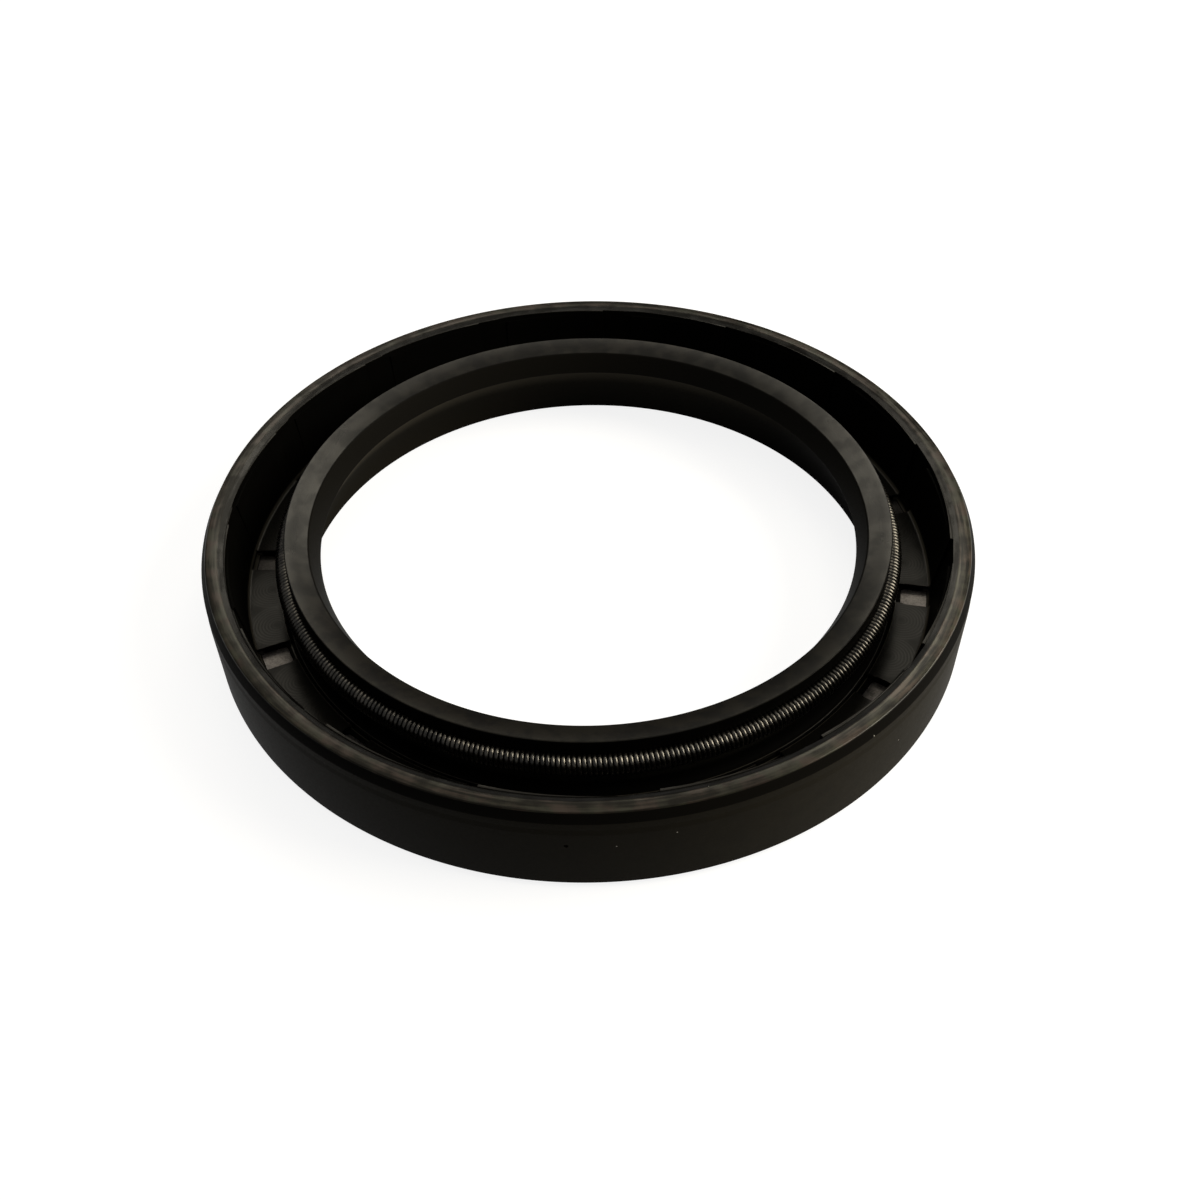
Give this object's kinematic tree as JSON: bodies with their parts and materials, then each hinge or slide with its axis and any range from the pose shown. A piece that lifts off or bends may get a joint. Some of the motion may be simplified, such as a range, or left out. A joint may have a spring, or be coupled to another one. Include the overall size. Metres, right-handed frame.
{
  "type": "radial shaft seal",
  "caption": "Radial shaft seal for a 45 mm shaft in a 62 mm bore: black rubber moulded over a steel case, with one sealing lip held in by a garter spring.",
  "frame": {"origin": "on the seal's axis, at the level of its back (air side) face", "axes": "+Z along the axis, from the back face to the sprung oil side; +X midway between two support grooves"},
  "size_m": [0.062, 0.062, 0.008],
  "materials": {
    "black_rubber": "moulded black nitrile rubber, satin, smoother on the lip and rougher on the trimmed rim",
    "case_steel": "pressed steel with a grey bonding coat",
    "spring_steel": "drawn spring wire, slightly straw coloured"
  },
  "bodies": {
    "root": {"rubber_body": "black_rubber", "metal_case": "case_steel", "garter_spring": "spring_steel"}
  },
  "joints": []
}
